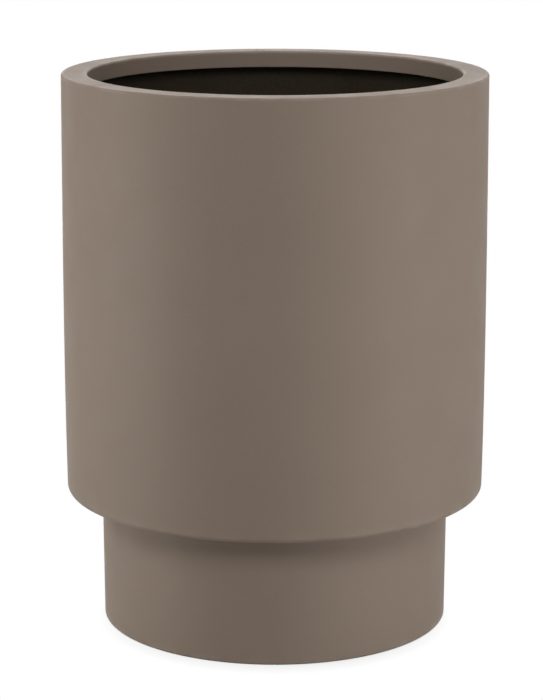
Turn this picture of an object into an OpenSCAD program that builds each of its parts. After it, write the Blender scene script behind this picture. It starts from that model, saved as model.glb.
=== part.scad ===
// Tall round two-tier planter in fibre-reinforced laminate: a drum with a rolled rim, standing on a
// set-back plinth. Millimetres, +Z up, origin on the ground at the planter's axis.

/* [Overall] */
// Height from the ground to the top of the rim
planter_h = 600; // [540:5:760]
// Outside diameter of the rim and of the drum where it meets the rim
rim_d = 456; // [440:2:540]
// Thickness of the moulded laminate
wall_t = 5; // [3.5:0.5:6.5]

/* [Rim] */
// Width of the rim's top, from its outer edge to the opening
rim_w = 28; // [24:1:45]
// Depth of the lip that turns down into the opening
lip_h = 18.5; // [12:0.5:40]
// Rounding of the rim's outer edge
rim_outer_r = 2.5; // [1:0.25:3]
// Rounding where the rim's top turns down into the lip
rim_inner_r = 2.5; // [1:0.5:5]
// Height of the skirt that goes down inside the drum's wall
skirt_h = 60; // [30:1:90]
// Thickness of the bonding paste between rim and drum
bond_t = 1; // [0.5:0.25:2]

/* [Drum] */
// How far the drum's wall bows out at its widest
wall_belly = 1.3; // [0:0.1:5]
// Rounding of the drum's lower edge
drum_edge_r = 6; // [5:0.5:15]
// How much further in the drum's flange reaches than the plinth's flange under it
flange_lap = 10; // [4:1:30]

/* [Plinth] */
// Height of the plinth shell
plinth_h = 142; // [80:1:220]
// How far the plinth's wall is set back from the drum's at its top
plinth_setback = 38; // [31:1:48]
// How much further it is set back at its foot
plinth_draw_in = 1; // [0:0.5:6]
// Width of the plinth's top flange, from the outside of its wall
top_flange_w = 40; // [38:1:60]
// Width of the plinth's foot flange, from the outside of its wall
foot_flange_w = 29; // [28:1:60]
// Rounding of the plinth's upper edge
plinth_edge_r = 3; // [1:0.5:5]

/* [Floor] */
// Thickness of the floor panel at its rim
panel_t = 12; // [11:0.5:20]
// Fall of the floor from the bolt ring to the drain
floor_fall = 4; // [1:0.5:5]
// Thickness of the bonding laminate between floor and wall
tab_t = 3; // [1.5:0.5:5]
// Height to which the bonding laminate climbs the wall
tab_h = 45; // [30:1:90]
// Radius of the cove in the bonding laminate
cove_r = 15; // [6:1:18]

/* [Drain] */
// Bore of the drain sleeve
drain_d = 25; // [16:1:32]
// Wall of the drain sleeve
sleeve_t = 3.5; // [2:0.5:5]
// Width of the flange round the drain sleeve
sleeve_flange_w = 11.5; // [8:0.5:20]
// Thickness of that flange
sleeve_flange_t = 3; // [1.5:0.5:4]
// How far the sleeve reaches below the floor panel
sleeve_drop = 13; // [6:1:30]
// Diameter of the drain plug's head
plug_head_d = 36; // [34:1:46]
// Thickness of the plug's head
plug_head_t = 4; // [3:0.5:6]
// Length of the plug's stem
plug_len = 20; // [16:1:30]
// Gap all round between the plug's ribs and the sleeve
plug_gap = 0.3; // [0.3:0.1:1]

/* [Fasteners] */
// Number of bolts that hold the drum to the plinth
bolt_count = 6; // [4:1:12]
// Thread diameter of the bolts
bolt_d = 8; // [6:1:10]
// Width across the flats of bolt heads and nuts
hex_w = 13; // [11:1:17]
// Height of the bolt heads
head_h = 5.3; // [4:0.1:7]
// Height of the lock nuts
nut_h = 8; // [6:0.5:10]
// Diameter of the wide steel washers
washer_d = 24; // [18:1:28]
// Thickness of the wide steel washers
washer_t = 2; // [1:0.25:3]
// How far the edge of the rubber seal washers stays inside the edge of the steel ones
seal_inset = 1; // [0:0.5:3]
// Thickness of the rubber seal washers
seal_t = 2; // [1:0.5:3]
// Gap all round a bolt in the laminate, the floor and the gasket
hole_gap = 0.5; // [0.3:0.1:1]
// Thickness of the gasket between drum and plinth
gasket_t = 1; // [1:0.5:4]

/* [Pads] */
// Number of rubber pads under the plinth
pad_count = 6; // [3:1:12]
// Diameter of the rubber pads
pad_d = 26; // [16:1:27]
// Thickness of the rubber pads
pad_t = 1; // [1:0.5:6]

/* [Hidden] */

$fn = 96;
// Straight steps that follow the drum's bowed wall, and each rounded edge
wall_steps = 20;
arc_steps = 6;
// Power by which the wall draws in towards its foot
bow_power = 4;
// Overrun of every cut
over = 1;

// Colours of the finishes
taupe = [0.47, 0.42, 0.37];
black_coat = [0.13, 0.12, 0.11];
resin = [0.55, 0.52, 0.42];
rubber_black = [0.10, 0.10, 0.10];
grey_pvc = [0.45, 0.46, 0.47];
stainless = [0.75, 0.75, 0.74];

// Small roundings inside the rim and the plinth, and at the lip's lower edge
rim_hollow_r = 2.5;
plinth_hollow_r = 4;
lip_edge_r = 1;
// Height over which the inside of the drum's wall meets the straight seat of the skirt
seat_run = 20;
// Room between the floor panel and the rounding inside the drum's lower edge
panel_gap = 0.5;
// Thin edge of the bonding laminate, and the run over which it reaches its full thickness
tab_edge_t = 0.8;
tab_run = 10;
// Room kept round the washers by the bonding laminate and by the dished part of the floor
washer_room = 5;
// Gap round the drain sleeve in the floor panel
sleeve_gap = 0.5;
// Radial gap of washers and nuts on the bolt
washer_gap = 0.2;
thread_gap = 0.05;
// Room between the bolt ring's washers and the plinth's inner rounding
bolt_room = 1;
// Bolts come in lengths of this step, and show at least this much thread past the nut
bolt_step = 5;
thread_show = 2;
// Chamfer at the bolt's tip, and the angle of the chamfer on heads and nuts
tip_chamfer = 1;
hex_chamfer_angle = 30;
// Share of the width across flats that the chamfer leaves flat on a head or nut
hex_flat_share = 0.95;
// Share of a lock nut's height that is its round collar, and the collar's share of the width
collar_h_share = 0.2;
collar_w_share = 0.88;
// Gasket's distance from the edges of the plinth's flange
gasket_inset = 2;
// Plug: ribs on the stem, how far they stand proud, the rounding of the head, and the upright grip
rib_count = 3;
rib_h = 3;
rib_proud = 1;
head_edge_r = 1.2;
grip_r = 8;
grip_t = 4;
grip_rise = 5;

// Heights, from the ground up
plinth_top_z = pad_t + plinth_h;
drum_z = plinth_top_z + gasket_t;
flange_top_z = drum_z + wall_t;
floor_z = flange_top_z + panel_t;
tab_top_z = floor_z + tab_h;
rim_under_z = planter_h - wall_t;
drum_top_z = rim_under_z - bond_t;
skirt_z = rim_under_z - skirt_h;
sleeve_top_z = floor_z - floor_fall;
sleeve_seat_z = sleeve_top_z - sleeve_flange_t;
sleeve_foot_z = flange_top_z - sleeve_drop;
head_seat_z = floor_z + seal_t + washer_t;
nut_top_z = plinth_top_z - wall_t - washer_t;
nut_foot_z = nut_top_z - nut_h;

// Radii, from the outside in
rim_r = rim_d / 2;
opening_r = rim_r - rim_w;
drum_in_r = rim_r - wall_t;
skirt_out_r = drum_in_r - bond_t;
skirt_in_r = skirt_out_r - wall_t;
plinth_top_r = rim_r - plinth_setback;
plinth_foot_r = plinth_top_r - plinth_draw_in;
top_flange_r = plinth_top_r - top_flange_w;
foot_flange_r = plinth_foot_r - foot_flange_w;
drum_flange_r = top_flange_r - flange_lap;
bolt_ring_r = plinth_top_r - wall_t - plinth_hollow_r - bolt_room - washer_d / 2;
tab_in_r = bolt_ring_r + washer_d / 2 + washer_room;
dish_r = bolt_ring_r - washer_d / 2 - washer_room;
pad_ring_r = plinth_foot_r - foot_flange_w / 2;
drain_r = drain_d / 2;
sleeve_r = drain_r + sleeve_t;
sleeve_flange_r = sleeve_r + sleeve_flange_w;
bolt_hole_r = bolt_d / 2 + hole_gap;

// Length of the bolts: what they clamp, the nut, and some thread past it, rounded up to the next step
bolt_len = bolt_step * ceil((head_seat_z - nut_foot_z + thread_show) / bolt_step);

// The wall's bow rises steadily from the rim and falls away by a higher power near the foot, so it is widest
// at this share of the way down
widest_share = pow(1 / bow_power, 1 / (bow_power - 1));
function bow_share(t) = (t - pow(t, bow_power)) / (widest_share - pow(widest_share, bow_power));

// Outside and inside radius of the drum's wall at height z
function wall_r(z) = rim_r + wall_belly * bow_share((drum_top_z - z) / (drum_top_z - drum_z));
function wall_in_r(z) = wall_r(z) - wall_t;

// Points of an arc of radius r round centre c, from angle a to angle b
function arc(c, r, a, b) =
    [for (i = [0:arc_steps]) let (v = a + (b - a) * i / arc_steps) c + r * [cos(v), sin(v)]];

// Straight steps of a wall whose radius follows the drum's bow, from height a to height b, thinned by t
function bowed(a, b, t) =
    [for (i = [0:wall_steps]) let (z = a + (b - a) * i / wall_steps) [wall_r(z) - t, z]];

// Rounding inside the drum's lower edge, from the flange's top up to the wall
drum_corner_z = drum_z + drum_edge_r;
inner_corner_z = flange_top_z + drum_edge_r;
panel_r = wall_in_r(inner_corner_z) - drum_edge_r - panel_gap;
function inner_corner() =
    arc([wall_in_r(inner_corner_z) - drum_edge_r, inner_corner_z], drum_edge_r, -90, 0);

// Places on the bolt ring and on the pad ring
module at_bolts() {
    for (i = [0:bolt_count - 1])
        rotate(i * 360 / bolt_count) translate([bolt_ring_r, 0, 0]) children();
}

module at_pads() {
    for (i = [0:pad_count - 1])
        rotate(i * 360 / pad_count) translate([pad_ring_r, 0, 0]) children();
}

// Holes for the bolts through everything from height z over a thickness t
module bolt_holes(z, t) {
    at_bolts() translate([0, 0, z - over]) cylinder(r = bolt_hole_r, h = t + 2 * over);
}

// Flat ring with outside radius ro, inside radius ri and thickness t, its underside at height z
module flat_ring(ro, ri, z, t) {
    translate([0, 0, z]) difference() {
        cylinder(r = ro, h = t);
        translate([0, 0, -over]) cylinder(r = ri, h = t + 2 * over);
    }
}

// Hexagon of height h whose upper corners are chamfered as on a turned bolt head
module hexagon(h) {
    flat_r = hex_flat_share * hex_w / 2;
    intersection() {
        cylinder(d = hex_w / cos(30), h = h, $fn = 6);
        cylinder(r1 = flat_r + h / tan(hex_chamfer_angle), r2 = flat_r, h = h);
    }
}

// Laminate wall of the drum, its lower edge rounded and turned in to a flange
module drum_shell() {
    color(taupe) difference() {
        rotate_extrude() polygon(concat(
            bowed(drum_top_z, drum_corner_z, 0),
            arc([wall_r(drum_corner_z) - drum_edge_r, drum_corner_z], drum_edge_r, 0, -90),
            [[drum_flange_r, drum_z], [drum_flange_r, flange_top_z]],
            inner_corner(),
            bowed(tab_top_z, skirt_z - seat_run, wall_t),
            [[drum_in_r, skirt_z], [drum_in_r, drum_top_z]]));
        bolt_holes(drum_z, wall_t);
    }
}

// Rolled rim: outer edge, flat top, return lip, and the skirt that is bonded inside the drum
module rim_ring() {
    lip_z = planter_h - lip_h;
    lip_back_r = opening_r + wall_t;
    color(taupe) rotate_extrude() polygon(concat(
        arc([rim_r - rim_outer_r, planter_h - rim_outer_r], rim_outer_r, 0, 90),
        arc([opening_r + rim_inner_r, planter_h - rim_inner_r], rim_inner_r, 90, 180),
        arc([opening_r + lip_edge_r, lip_z + lip_edge_r], lip_edge_r, 180, 270),
        arc([lip_back_r - lip_edge_r, lip_z + lip_edge_r], lip_edge_r, -90, 0),
        arc([lip_back_r + rim_hollow_r, rim_under_z - rim_hollow_r], rim_hollow_r, 180, 90),
        arc([skirt_in_r - rim_hollow_r, rim_under_z - rim_hollow_r], rim_hollow_r, 90, 0),
        [[skirt_in_r, skirt_z], [skirt_out_r, skirt_z], [skirt_out_r, rim_under_z], [rim_r, rim_under_z]]));
}

// Bonding paste: it fills the joint behind the skirt and on top of the wall, and is flush outside
module rim_bond() {
    color(resin) rotate_extrude() polygon([
        [rim_r, rim_under_z], [skirt_out_r, rim_under_z], [skirt_out_r, skirt_z],
        [drum_in_r, skirt_z], [drum_in_r, drum_top_z], [rim_r, drum_top_z]]);
}

// Stiff floor disc on the drum's flange, dished inside the bolt ring so that water runs to the drain
module floor_panel() {
    recess_r = sleeve_flange_r + sleeve_gap;
    hole_r = sleeve_r + sleeve_gap;
    color(black_coat) difference() {
        rotate_extrude() polygon([
            [panel_r, flange_top_z], [panel_r, floor_z], [dish_r, floor_z], [recess_r, sleeve_top_z],
            [recess_r, sleeve_seat_z], [hole_r, sleeve_seat_z], [hole_r, flange_top_z]]);
        bolt_holes(flange_top_z, panel_t);
    }
}

// Bonding laminate in the corner of floor and wall: it fills the gap round the panel and coves the corner
module floor_tabbing() {
    face_r = wall_in_r(inner_corner_z) - tab_t;
    top_r = wall_in_r(tab_top_z);
    color(black_coat) rotate_extrude() polygon(concat(
        [[tab_in_r, floor_z], [panel_r, floor_z], [panel_r, flange_top_z]],
        inner_corner(),
        [[top_r, tab_top_z], [top_r - tab_edge_t, tab_top_z], [top_r - tab_t, tab_top_z - tab_run]],
        arc([face_r - cove_r, floor_z + tab_t + cove_r], cove_r, 0, -90),
        [[tab_in_r + tab_run, floor_z + tab_t], [tab_in_r, floor_z + tab_edge_t]]));
}

// Flanged sleeve through the floor panel, its flange sunk flush at the floor's lowest place
module drain_sleeve() {
    color(grey_pvc) rotate_extrude() polygon([
        [drain_r, sleeve_foot_z], [sleeve_r, sleeve_foot_z], [sleeve_r, sleeve_seat_z],
        [sleeve_flange_r, sleeve_seat_z], [sleeve_flange_r, sleeve_top_z], [drain_r, sleeve_top_z]]);
}

// Rubber drain plug: ribbed stem, round head that rests on the sleeve, and an upright tab to pull it by
module drain_plug() {
    rib_r = drain_r - plug_gap;
    core_r = rib_r - rib_proud;
    foot_z = sleeve_top_z - plug_len;
    rib_pitch = plug_len / (rib_count + 1);
    head_r = plug_head_d / 2;
    head_top_z = sleeve_top_z + plug_head_t;
    ribs = [for (i = [1:rib_count], s = [-1, 0, 1])
        [s == 0 ? rib_r : core_r, foot_z + i * rib_pitch + s * rib_h / 2]];
    color(rubber_black) union() {
        rotate_extrude() polygon(concat(
            [[0, foot_z], [core_r - rib_proud, foot_z], [core_r, foot_z + rib_proud]],
            ribs,
            [[core_r, sleeve_top_z], [head_r, sleeve_top_z]],
            arc([head_r - head_edge_r, head_top_z - head_edge_r], head_edge_r, 0, 90),
            [[0, head_top_z]]));
        translate([0, grip_t / 2, head_top_z + grip_rise]) rotate([90, 0, 0])
            linear_extrude(height = grip_t) union() {
                circle(r = grip_r);
                translate([-grip_r, -grip_rise - head_edge_r])
                    square([2 * grip_r, grip_rise + head_edge_r]);
            }
    }
}

// Laminate wall of the plinth, with a flange turned in at its top and at its foot
module plinth_shell() {
    top_in_r = plinth_top_r - wall_t;
    foot_in_r = plinth_foot_r - wall_t;
    top_in_z = plinth_top_z - wall_t;
    foot_in_z = pad_t + wall_t;
    color(taupe) difference() {
        rotate_extrude() polygon(concat(
            [[foot_flange_r, pad_t], [plinth_foot_r, pad_t]],
            arc([plinth_top_r - plinth_edge_r, plinth_top_z - plinth_edge_r], plinth_edge_r, 0, 90),
            [[top_flange_r, plinth_top_z], [top_flange_r, top_in_z]],
            arc([top_in_r - plinth_hollow_r, top_in_z - plinth_hollow_r], plinth_hollow_r, 90, 0),
            arc([foot_in_r - plinth_hollow_r, foot_in_z + plinth_hollow_r], plinth_hollow_r, 0, -90),
            [[foot_flange_r, foot_in_z]]));
        bolt_holes(plinth_top_z - wall_t, wall_t);
    }
}

// Flat gasket between the plinth's top flange and the drum's underside
module joint_gasket() {
    color(rubber_black) difference() {
        flat_ring(plinth_top_r - plinth_edge_r - gasket_inset, top_flange_r + gasket_inset,
            plinth_top_z, gasket_t);
        bolt_holes(plinth_top_z, gasket_t);
    }
}

// Hexagon bolts that clamp floor, drum and plinth together
module joint_bolts() {
    tip_z = head_seat_z - bolt_len;
    color(stainless) at_bolts() union() {
        translate([0, 0, head_seat_z]) hexagon(head_h);
        translate([0, 0, tip_z + tip_chamfer]) cylinder(d = bolt_d, h = bolt_len - tip_chamfer);
        translate([0, 0, tip_z]) cylinder(d1 = bolt_d - 2 * tip_chamfer, d2 = bolt_d, h = tip_chamfer);
    }
}

// Rubber washers that seal the bolt holes in the floor
module seal_washers() {
    color(rubber_black) at_bolts()
        flat_ring(washer_d / 2 - seal_inset, bolt_d / 2 + thread_gap, floor_z, seal_t);
}

// Wide steel washers under the bolt heads
module upper_washers() {
    color(stainless) at_bolts() flat_ring(washer_d / 2, bolt_d / 2 + washer_gap, floor_z + seal_t, washer_t);
}

// Wide steel washers between the plinth's flange and the nuts
module lower_washers() {
    color(stainless) at_bolts() flat_ring(washer_d / 2, bolt_d / 2 + washer_gap, nut_top_z, washer_t);
}

// Lock nuts: a chamfered hexagon with the round collar of its locking ring at the lower end
module lock_nuts() {
    collar_h = collar_h_share * nut_h;
    color(stainless) at_bolts() translate([0, 0, nut_foot_z]) difference() {
        union() {
            translate([0, 0, collar_h]) hexagon(nut_h - collar_h);
            cylinder(d = collar_w_share * hex_w, h = collar_h);
        }
        translate([0, 0, -over]) cylinder(r = bolt_d / 2 + thread_gap, h = nut_h + 2 * over);
    }
}

// Rubber pads under the plinth's foot flange
module foot_pads() {
    color(rubber_black) at_pads() cylinder(d = pad_d, h = pad_t);
}

drum_shell();
rim_ring();
rim_bond();
floor_panel();
floor_tabbing();
drain_sleeve();
drain_plug();
plinth_shell();
joint_gasket();
joint_bolts();
seal_washers();
upper_washers();
lower_washers();
lock_nuts();
foot_pads();
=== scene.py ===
import math

import bpy
import numpy as np
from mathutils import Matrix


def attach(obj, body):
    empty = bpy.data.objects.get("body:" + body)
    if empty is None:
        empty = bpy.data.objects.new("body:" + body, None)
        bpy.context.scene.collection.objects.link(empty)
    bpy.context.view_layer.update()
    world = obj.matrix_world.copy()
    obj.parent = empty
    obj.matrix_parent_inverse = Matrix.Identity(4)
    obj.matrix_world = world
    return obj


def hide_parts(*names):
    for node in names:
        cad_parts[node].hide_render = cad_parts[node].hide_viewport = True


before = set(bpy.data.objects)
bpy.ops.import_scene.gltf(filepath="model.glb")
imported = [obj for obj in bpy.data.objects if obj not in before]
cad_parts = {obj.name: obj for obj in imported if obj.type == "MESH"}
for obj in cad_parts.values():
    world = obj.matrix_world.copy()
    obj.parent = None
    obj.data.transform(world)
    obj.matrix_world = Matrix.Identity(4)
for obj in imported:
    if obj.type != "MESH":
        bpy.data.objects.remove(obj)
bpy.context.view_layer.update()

# Camera
# A long lens looks down a little from 2.7 m in front of the planter. Its place, its tilt and its focal
# length were fitted to the outline of the rim, the drum and the plinth in the photograph.
camera_back, camera_up = 2.6801, 0.9121
camera_tilt, camera_roll, camera_turn = 12.966, -0.042, 0.0859
focal_length_px, picture_height_px = 2514.0, 700


def new_object(name, data):
    """An object with that data, linked into the scene."""
    made = bpy.data.objects.new(name, data)
    bpy.context.collection.objects.link(made)
    return made


camera = new_object("camera", bpy.data.cameras.new("camera"))
camera.data.sensor_width = 36.0
camera.data.lens = focal_length_px * camera.data.sensor_width / picture_height_px
camera.data.clip_end = 40.0
camera.location = (0.0, -camera_back, camera_up)
camera.rotation_euler = [math.radians(a) for a in (90 - camera_tilt, camera_roll, camera_turn)]
bpy.context.scene.camera = camera

# Drum shell
# The tall wall is glass-fibre laminate laid by hand inside a drum-shaped mould, so it is smooth and
# painted taupe outside and shows its strands faintly inside under a brushed black coat. Its lower edge
# is rounded and turned in to a flange, which the bolts go through.
drum_radius, wall_thick, belly = 0.228, 0.005, 0.0013
drum_foot, drum_top = 0.144, 0.594
drum_edge_round = 0.006
flange_reach = 0.140
seat_foot, seat_fade = 0.535, 0.515
trim_round = 0.0006
bolt_count, bolt_ring, bolt_hole = 6, 0.168, 0.0045
hole_steps, open_steps, sharp_angle = 6, 29, math.radians(38)
laid_swell = 0.0005
swell_foot, swell_foot_run, swell_top_gap, swell_top_run = 0.200, 0.015, 0.006, 0.014


def run(start, end, steps):
    """Points evenly spaced from start towards end, without end, where the next stretch starts."""
    return np.linspace(start, end, steps, endpoint=False)


def bend(centre, radius, start, end, steps):
    """Points of an arc, without its last: the centre plus radius times (cos, sin) of even angles."""
    angle = np.radians(np.linspace(start, end, steps, endpoint=False))
    return np.array(centre) + radius * np.stack([np.cos(angle), np.sin(angle)], axis=1)


def wall_radius(z):
    """Outside radius of the drum's wall at height z.

    With t from 0 at the wall's top to 1 at its foot, it is the rim's radius plus the belly times
    t - t^4 over the greatest value of t - t^4.
    """
    t = (drum_top - z) / (drum_top - drum_foot)
    widest = 0.25 ** (1 / 3)
    return drum_radius + belly * (t - t ** 4) / (widest - widest ** 4)


def wall_run(top, foot, depth, steps):
    """Points down or up the bowed wall from height top to height foot, that depth inside it."""
    z = np.linspace(top, foot, steps, endpoint=False)
    return np.stack([wall_radius(z) - depth, z], axis=1)


def joined(stretches):
    """A profile of stretches in a row, and the number of each of its points.

    A stretch is a number with points, or a number with one point and a count of steps, for the
    straight from that point to where the next stretch starts, or the first after the last. The
    number is mostly the place of the stretch's finish in the piece's list.
    """
    firsts = [np.reshape(points, (-1, 2))[0] for _, points, *_ in stretches]
    parts = [run(points, ahead, *steps) if steps else np.asarray(points)
             for (_, points, *steps), ahead in zip(stretches, firsts[1:] + firsts[:1])]
    numbers = [np.full(len(part), number) for part, (number, *_) in zip(parts, stretches)]
    return np.concatenate(parts), np.concatenate(numbers)


def rising(distance, length):
    """Zero where the distance is zero or less, one where it is at least the length, even between."""
    return np.clip(distance / length, 0, 1)


def ring_angles():
    """Angles of the grid's columns round the planter, starting at the front.

    Each bolt's sector has even steps on both sides and hole_steps narrower ones across the bolt
    hole, whose half angle is the arcsine of its radius over the bolt ring's radius.
    """
    half_hole = math.asin(bolt_hole / bolt_ring)
    side = np.linspace(half_hole, math.pi / bolt_count, open_steps + 1)
    across = np.linspace(-half_hole, half_hole, hole_steps + 1)[1:-1]
    sector = np.concatenate([-side[::-1], across, side[:-1]])
    return np.concatenate([sector + 2 * math.pi / bolt_count * (k - 1) for k in range(bolt_count)])


def turned(profile, angles):
    """A closed (r, z) profile turned about the upright axis, and the outward normals of the result.

    Point (i, j) is (r cos a, r sin a, z) of profile point i at angle j. The profile runs clockwise
    with r to the right and z up, so its normal is its direction (dr, dz) turned to (-dz, dr).
    """
    step = np.roll(profile, -1, axis=0) - np.roll(profile, 1, axis=0)
    normal = np.stack([-step[:, 1], step[:, 0]], axis=1)
    normal /= np.linalg.norm(normal, axis=1, keepdims=True) + 1e-12
    spin = np.stack([np.cos(angles), np.sin(angles)], axis=1)

    def around(pair):
        flat = pair[:, None, :1] * spin[None]
        return np.concatenate([flat, np.repeat(pair[:, None, 1:], len(angles), axis=1)], axis=2)

    return around(profile), around(normal)


def hand_laid(points, seed, shortest=0.014, longest=0.055):
    """Unevenness of hand-laid laminate at each point, about 0 to 1.

    It is one half plus a share of the sum of 48 plane waves through space, cos(k . p + phase), each
    with its own direction, length and phase, so it has no seam anywhere.
    """
    draw = np.random.default_rng(seed)
    way = draw.normal(size=(48, 3))
    way /= np.linalg.norm(way, axis=1, keepdims=True)
    number = 2 * math.pi / draw.uniform(shortest, longest, 48)
    phase = draw.uniform(0, 2 * math.pi, 48)
    wave = np.cos(points @ (way * number[:, None]).T + phase).sum(axis=-1)
    return np.clip(0.5 + 0.055 * wave, 0.0, 1.0)


def open_bolt_holes(grid, angles):
    """Draws the grid round each bolt into circles.

    With a and b the distances from the bolt's centre in half holes, around and outwards, the square
    of points at max(|a|, |b|) = m goes to the circle of m hole radii. That holds in full at the
    hole's edge and fades out at three hole radii.
    """
    sector = 2 * math.pi / bolt_count
    centre = np.round(angles / sector) * sector
    a = (angles - centre)[None] / math.asin(bolt_hole / bolt_ring)
    b = (np.hypot(grid[..., 0], grid[..., 1]) - bolt_ring) / bolt_hole
    a = np.broadcast_to(a, b.shape)
    m = np.maximum(abs(a), abs(b))
    scale = bolt_hole * m / (np.hypot(a, b) + 1e-9)
    out, side = bolt_ring + scale * b, scale * a
    target = np.stack([out * np.cos(centre) - side * np.sin(centre),
                       out * np.sin(centre) + side * np.cos(centre)], axis=-1)
    share = np.clip((3 - m) / 2, 0, 1)[..., None]
    grid[..., :2] += share * (target - grid[..., :2])
    return grid


def bolt_rows(profile, z):
    """Rows of the profile at height z that run across the bolt holes, from the inside out."""
    near = (abs(profile[:, 1] - z) < 1e-6) & (abs(profile[:, 0] - bolt_ring) < bolt_hole + 1e-6)
    rows = np.flatnonzero(near)
    return rows[np.argsort(profile[rows, 0])]


def hole_faces(over, under):
    """Rows and columns of the corners of the faces that line the bolt holes.

    Round each hole goes a square loop over the rows and columns that touch it, and a face joins
    each step of the loop in the upper rows to the same step in the lower rows.
    """
    n = hole_steps
    step = np.arange(n)
    loop_row = np.concatenate([step * 0, step, step * 0 + n, n - step])
    loop_column = np.concatenate([step, step * 0 + n, n - step, step * 0]) + open_steps
    per_sector = 2 * open_steps + hole_steps
    next_row, next_column = np.roll(loop_row, -1), np.roll(loop_column, -1)
    row = np.stack([over[loop_row], under[loop_row], under[next_row], over[next_row]], axis=1)
    column = np.stack([loop_column, loop_column, next_column, next_column], axis=1)
    starts = np.arange(bolt_count) * per_sector
    return np.tile(row, (bolt_count, 1)), (column[None] + starts[:, None, None]).reshape(-1, 4)


def outward_turn(grid):
    """How sharply the first column turns outwards at each row, 0 to 1.

    It is the angle between the steps before and after the point, less one degree, over three. Corners
    of more than 40 degrees in one step lie hidden in joints and count as none.
    """
    line = np.stack([np.hypot(grid[:, 0, 0], grid[:, 0, 1]), grid[:, 0, 2]], axis=1)
    after = np.roll(line, -1, axis=0) - line
    heading = np.unwrap(np.arctan2(after[:, 1], after[:, 0]))
    turn = (np.degrees(np.roll(heading, 1) - heading) + 180) % 360 - 180
    return np.clip((turn - 1) / 3, 0, 1) * (turn < 40)


def make_piece(name, grid, finishes, row_finish=None, ends_meet=True, bolt_edges=None, places=None,
               flat_map=False):
    """A mesh object from a grid of points, rows along a profile and columns around.

    A face joins (i, j), (i + 1, j), (i + 1, j + 1) and (i, j + 1). The last column joins the first,
    and so does the last row where ends_meet, or else the first and last rows close to one point
    each. row_finish is each row's place in finishes, the first where it is left out. bolt_edges are
    the upper and lower rows of the bolt holes. places are (distance, angle) pairs, and the piece is
    repeated at each. The UV map holds the metres along and around, or x and y where flat_map, and
    the edge value says where the surface turns outwards.
    """
    rows, columns = grid.shape[:2]
    if row_finish is None:
        row_finish = np.zeros(rows, dtype=int)
    number = np.arange(rows * columns).reshape(rows, columns)
    if not ends_meet:
        number[0], number[-1] = number[0, 0], number[-1, 0]
    i, j = np.meshgrid(np.arange(rows if ends_meet else rows - 1), np.arange(columns), indexing="ij")
    row = np.stack([i, i + 1, i + 1, i], axis=-1).reshape(-1, 4)
    column = np.stack([j, j, j + 1, j + 1], axis=-1).reshape(-1, 4)
    finish = row_finish[row[:, 0]]
    if bolt_edges:
        sector_column = column[:, 0] % (2 * open_steps + hole_steps) - open_steps
        inside = (sector_column >= 0) & (sector_column < hole_steps)
        for edge in bolt_edges:
            inside_rows = (row[:, 0] >= edge.min()) & (row[:, 0] < edge.max())
            finish = np.where(inside & inside_rows, -1, finish)
        wall_row, wall_column = hole_faces(*bolt_edges)
        row = np.concatenate([row[finish >= 0], wall_row])
        column = np.concatenate([column[finish >= 0], wall_column])
        finish = np.concatenate([finish[finish >= 0], np.full(len(wall_row), len(finishes) - 1)])
    lengths = np.linalg.norm(np.roll(grid, -1, axis=0)[:, 0] - grid[:, 0], axis=1)
    along = np.append(0.0, np.cumsum(lengths))
    widest = grid[np.argmax(np.hypot(grid[:, 0, 0], grid[:, 0, 1]))]
    around = np.append(0.0, np.cumsum(np.linalg.norm(np.roll(widest, -1, axis=0) - widest, axis=1)))
    corner = number[row % rows, column % columns]
    kept = corner != np.roll(corner, 1, axis=1)
    used, corner = np.unique(corner[kept], return_inverse=True)
    points = grid.reshape(-1, 3)[used]
    edge = np.repeat(outward_turn(grid), columns)[used]
    uv = points[corner, :2] if flat_map else np.stack([around[column], along[row]], axis=-1)[kept]
    sizes = kept.sum(axis=1)
    if places:
        count = len(places)
        copies = []
        for distance, angle in places:
            c, s = math.cos(angle), math.sin(angle)
            spin = np.array([[c, s, 0], [-s, c, 0], [0, 0, 1]])
            copies.append((points + [distance, 0, 0]) @ spin)
        corner = np.concatenate([corner + k * len(points) for k in range(count)])
        points, edge = np.concatenate(copies), np.tile(edge, count)
        uv, sizes, finish = np.tile(uv, (count, 1)), np.tile(sizes, count), np.tile(finish, count)
    mesh = bpy.data.meshes.new(name)
    mesh.vertices.add(len(points))
    mesh.vertices.foreach_set("co", points.ravel())
    mesh.loops.add(len(corner))
    mesh.loops.foreach_set("vertex_index", corner)
    mesh.polygons.add(len(sizes))
    mesh.polygons.foreach_set("loop_start", np.cumsum(sizes) - sizes)
    for material in finishes:
        mesh.materials.append(material)
    mesh.polygons.foreach_set("material_index", finish)
    mesh.uv_layers.new(name="surface").data.foreach_set("uv", uv.ravel())
    mesh.attributes.new("edge", "FLOAT", "POINT").data.foreach_set("value", edge)
    mesh.update(calc_edges=True)
    mesh.validate()
    mesh.polygons.foreach_set("use_smooth", np.ones(len(sizes), dtype=bool))
    mesh.set_sharp_from_angle(angle=sharp_angle)
    return new_object(name, mesh)


def shader_node(tree, kind, inputs=None, **settings):
    """One node of a kind, which is its type's name after ShaderNode.

    settings are its own properties, and inputs are values or sockets by name or number.
    """
    made = tree.nodes.new("ShaderNode" + kind)
    for key, value in settings.items():
        setattr(made, key, value)
    for key, value in (inputs or {}).items():
        if isinstance(value, bpy.types.NodeSocket):
            tree.links.new(value, made.inputs[key])
        else:
            made.inputs[key].default_value = value
    return made


def grain(tree, place, per_metre, detail):
    """Noise over a place with that many cells to the metre and that many finer layers."""
    return shader_node(tree, "TexNoise", {
        "Vector": place, "Scale": per_metre, "Detail": detail}).outputs["Fac"]


def between(tree, value, low, high, to_low=0.0, to_high=1.0):
    """The value taken from the range low to high into the range to_low to to_high, and held there."""
    return shader_node(tree, "MapRange", {
        "Value": value, "From Min": low, "From Max": high, "To Min": to_low, "To Max": to_high,
    }).outputs["Result"]


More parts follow.
